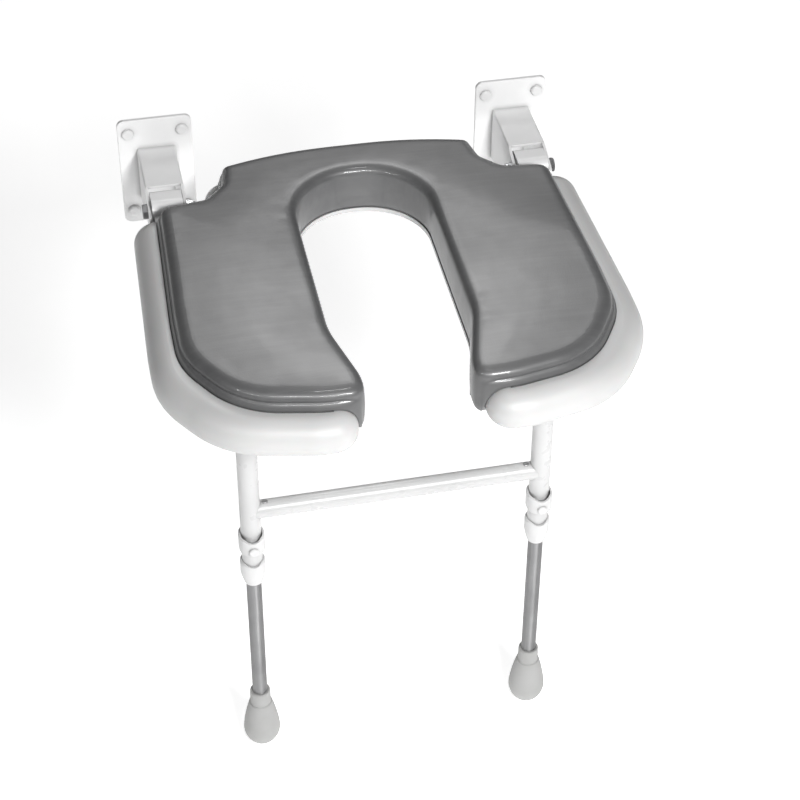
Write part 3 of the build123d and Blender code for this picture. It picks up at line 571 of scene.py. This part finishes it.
def seat_pad():
    """The cushion: a crowned top, sides that belly a little, a seam, and an underside."""
    ring = loop(PAD_CORNERS)
    base_ring = loop(BASE_CORNERS)
    flat, faces, count = fill(ring, TOP_DEPTHS, TOP_GRID)
    height = crown(flat, distance(flat, ring))
    verts = [(x, y, z) for (x, y), z in zip(flat, height)]
    normals = outward(ring)
    low = lower_edge(ring, base_ring)
    outer = low > LINING_LOW_Z + LINED
    above = list(range(count))
    for s in SIDE_ROWS:
        tuck = TUCK * max(0, s - TUCK_FROM) / (1 - TUCK_FROM)
        belly = BELLY * math.sin(math.pi * min(s / BELLY_END, 1.0)) - tuck
        flare = FLARE * s - (EASE if s == SIDE_ROWS[0] else 0.0)
        rim = ring + normals * (belly + np.where(outer, flare, 0.0))[:, None]
        z = WALL_TOP_Z + (low - WALL_TOP_Z) * s
        below = list(range(len(verts), len(verts) + count))
        verts += [(x, y, h) for (x, y), h in zip(rim, z)]
        faces += [
            (above[k], above[(k + 1) % count], below[(k + 1) % count], below[k])
            for k in range(count)
        ]
        above = below
    under, under_faces, _ = fill(rim, UNDER_DEPTHS, UNDER_GRID)
    bottom = np.maximum(base_top(under, base_ring), ARM_CLEAR_Z)
    lining = distance(under, rim) < LINING_T + LINING_SLACK
    lining &= np.abs(under[:, 0]) < UNDER_HALF_W
    lining &= (under[:, 1] < UNDER_REAR_Y) & (under[:, 1] > UNDER_TIP_Y)
    bottom = np.where(lining, LINING_LOW_Z, bottom)
    bottom[:count] = low
    start = len(verts)
    verts += [(x, y, z) for (x, y), z in zip(under, bottom)]
    for a, b, c in under_faces:
        faces.append(tuple(above[i] if i < count else i + start for i in (c, b, a)))
    mesh = bpy.data.meshes.new("seat_cushion")
    mesh.from_pydata(verts, [], faces)
    mesh.validate()
    pad = bpy.data.objects.new("seat_cushion", mesh)
    bpy.context.collection.objects.link(pad)
    tidy(pad)
    puff(pad)
    return pad


def puff(pad):
    """Swells the cover a little by a short cloth simulation; its skirt and lining are held."""
    scene = bpy.context.scene
    start = np.array([v.co for v in pad.data.vertices])
    free = np.clip((start[:, 2] - PUFF_HELD_Z) / (PUFF_FREE_Z - PUFF_HELD_Z), 0, 1)
    held = pad.vertex_groups.new(name="held")
    held.add([int(i) for i in np.flatnonzero(free <= 0)], 1.0, "ADD")
    cloth = pad.modifiers.new("cloth", "CLOTH")
    settings = cloth.settings
    settings.vertex_group_mass = "held"
    settings.use_pressure = True
    settings.uniform_pressure_force = PUFF_PRESSURE
    settings.effector_weights.gravity = 0.0
    cloth.point_cache.frame_start, cloth.point_cache.frame_end = 1, PUFF_FRAMES
    for frame_number in range(1, PUFF_FRAMES + 1):
        scene.frame_set(frame_number)
    swollen = pad.evaluated_get(bpy.context.evaluated_depsgraph_get()).data
    moved = np.array([v.co for v in swollen.vertices]) - start
    pad.modifiers.remove(cloth)
    pad.vertex_groups.remove(held)
    scene.frame_set(1)
    reach = np.linalg.norm(moved, axis=1)
    moved *= (PUFF_CAP / np.maximum(reach, PUFF_CAP))[:, None]
    moved = relax(pad.data, moved) * free[:, None]
    for vert, place in zip(pad.data.vertices, start + moved):
        vert.co = place


def relax(mesh, moved):
    """Evens out the puckers of a simulated movement and leaves its broad swell."""
    a, b = np.array([e.vertices for e in mesh.edges]).T
    joined = np.bincount(np.concatenate((a, b)), minlength=len(moved))[:, None]
    for _ in range(RELAX_ROUNDS):
        total = np.zeros_like(moved)
        np.add.at(total, a, moved[b])
        np.add.at(total, b, moved[a])
        moved = total / joined
    return moved


def cord(name, line, radius, sides):
    """A round cord along an open line of points, with flat ends."""
    count = len(line)
    along = np.gradient(line, axis=0)
    along /= np.linalg.norm(along, axis=1)[:, None]
    across = np.cross(along, (0.0, 0.0, 1.0))
    across /= np.linalg.norm(across, axis=1)[:, None]
    over = np.cross(across, along)
    verts, faces = [], []
    for k in range(sides):
        angle = 2 * math.pi * k / sides
        spoke = math.cos(angle) * across + math.sin(angle) * over
        verts += [tuple(p) for p in line + radius * spoke]
    for k in range(sides):
        a, b = k * count, (k + 1) % sides * count
        faces += [(a + i, a + i + 1, b + i + 1, b + i) for i in range(count - 1)]
    faces.append(tuple(k * count for k in range(sides)))
    faces.append(tuple(k * count + count - 1 for k in range(sides)))
    mesh = bpy.data.meshes.new(name)
    mesh.from_pydata(verts, [], faces)
    obj = bpy.data.objects.new(name, mesh)
    bpy.context.collection.objects.link(obj)
    tidy(obj)
    return obj


def welt_painted_shade():
    """The sewn welt along the cover's outer edge, in the groove where the pad meets the base; its
    near-black colour is painted shade.
    """
    ring = loop(PAD_CORNERS)
    low = lower_edge(ring, loop(BASE_CORNERS))
    line = ring + outward(ring) * (FLARE - WELT_SUNK)
    line = np.column_stack((line, low + WELT_SUNK))
    lined = (ring[:, 1] < LINING_REAR_Y) & (np.abs(ring[:, 0]) < FRONT_TIP_W)
    start = np.flatnonzero(lined & ~np.roll(lined, -1))[0]
    line = np.roll(line, -start - 1, axis=0)
    return cord("seat_welt_painted_shade", line[: np.count_nonzero(~lined)], WELT_R, WELT_SIDES)


def tidy(obj):
    """Removes loose points, turns the faces outwards and shades them smooth."""
    work = bmesh.new()
    work.from_mesh(obj.data)
    bmesh.ops.delete(work, geom=[v for v in work.verts if not v.link_faces], context="VERTS")
    bmesh.ops.recalc_face_normals(work, faces=work.faces)
    work.to_mesh(obj.data)
    work.free()
    obj.data.polygons.foreach_set("use_smooth", [True] * len(obj.data.polygons))


# ---- scene ------------------------------------------------------------------------------

camera()
lights()
made = materials()
dress(made)
floor(cad_box[0].z - FLOOR_GAP)
pad = seat_pad()
pad.data.materials.append(made["grey_vinyl"])
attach(pad, "seat")
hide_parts("seat_pad")
# The welt's near-black finish is painted shade of the groove at the base.
seam = welt_painted_shade()
seam.data.materials.append(made["welt_painted_shade"])
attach(seam, "seat")
